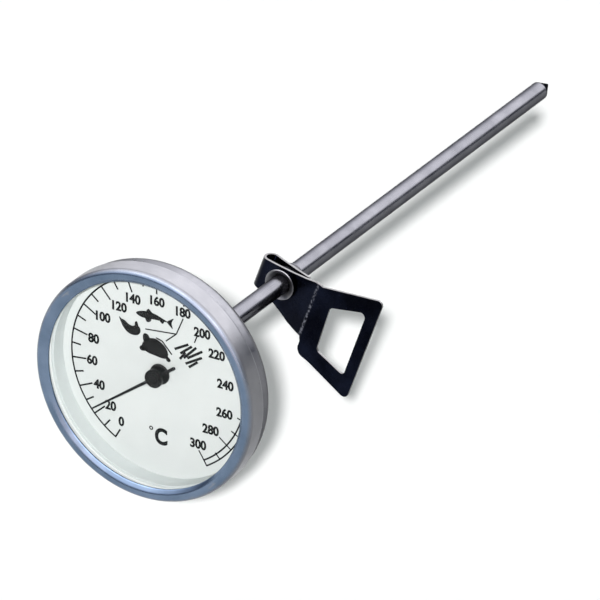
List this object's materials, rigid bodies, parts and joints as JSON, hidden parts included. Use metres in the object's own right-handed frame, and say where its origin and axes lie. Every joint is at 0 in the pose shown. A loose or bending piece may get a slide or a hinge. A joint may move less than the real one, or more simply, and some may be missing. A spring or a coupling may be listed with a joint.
{
  "type": "dial thermometer",
  "caption": "Round glass-fronted bimetal dial thermometer with a long pointed stem and a folded pan clip that slides and turns on the stem.",
  "frame": {"origin": "on the stem's axis, 100 mm behind the case's back face", "axes": "+Y along the stem from the dial to the point, so the dial faces -Y; +Z towards twelve o'clock on the dial, +X towards three o'clock"},
  "size_m": [0.05, 0.1626, 0.05],
  "materials": {
    "brushed_steel": "fine circular brushing",
    "polished_steel": "polished",
    "stem_steel": "ground along its length",
    "tip_steel": "welded and ground, darker",
    "glass": "clear",
    "white_rubber": "matt",
    "white_plastic": "satin",
    "grey_plastic": "matt",
    "black_plastic": "semi-gloss",
    "dial_white": "printed, matt white, faintly cool",
    "black_paint": "matt",
    "brass": "turned",
    "bimetal": "rolled strip",
    "blued_spring_steel": "dark blued, bright cut edges"
  },
  "bodies": {
    "housing": {"case_cup": "brushed_steel", "bezel_ring": "polished_steel", "lens": "glass", "lens_gasket": "white_rubber", "spacer_ring": "white_plastic", "dial_plate": "dial_white", "dial_support_ring": "grey_plastic", "dial_boss": "black_plastic", "stem_ferrule": "brushed_steel", "stem_tube": "stem_steel", "stem_tip": "tip_steel", "upper_bush": "brass", "mid_guide": "brass", "lower_guide": "brass", "thrust_washer": "white_plastic", "bimetal_anchor": "brass", "bimetal_helix": "bimetal"},
    "movement": {"spindle": "stem_steel", "spindle_retainer": "brass", "helix_coupling": "brass", "pointer": "black_paint", "pointer_hub": "black_plastic"},
    "collar": {"clip_collar": "polished_steel"},
    "pan_clip": {"clip": "blued_spring_steel"}
  },
  "joints": [
    {"name": "pointer_turn", "type": "hinge", "parent": "housing", "child": "movement", "pos_m": [0, 0, 0], "axis": [0, 1, 0], "range_deg": [-22, 275], "stiffness_Nm_per_rad": 0.0002},
    {"name": "clip_slide", "type": "slide", "parent": "housing", "child": "collar", "axis": [0, 1, 0], "range_m": [-0.033, 0.095]},
    {"name": "clip_swivel", "type": "hinge", "parent": "collar", "child": "pan_clip", "pos_m": [0, -0.0555, 0], "axis": [0, 1, 0], "continuous": true}
  ]
}
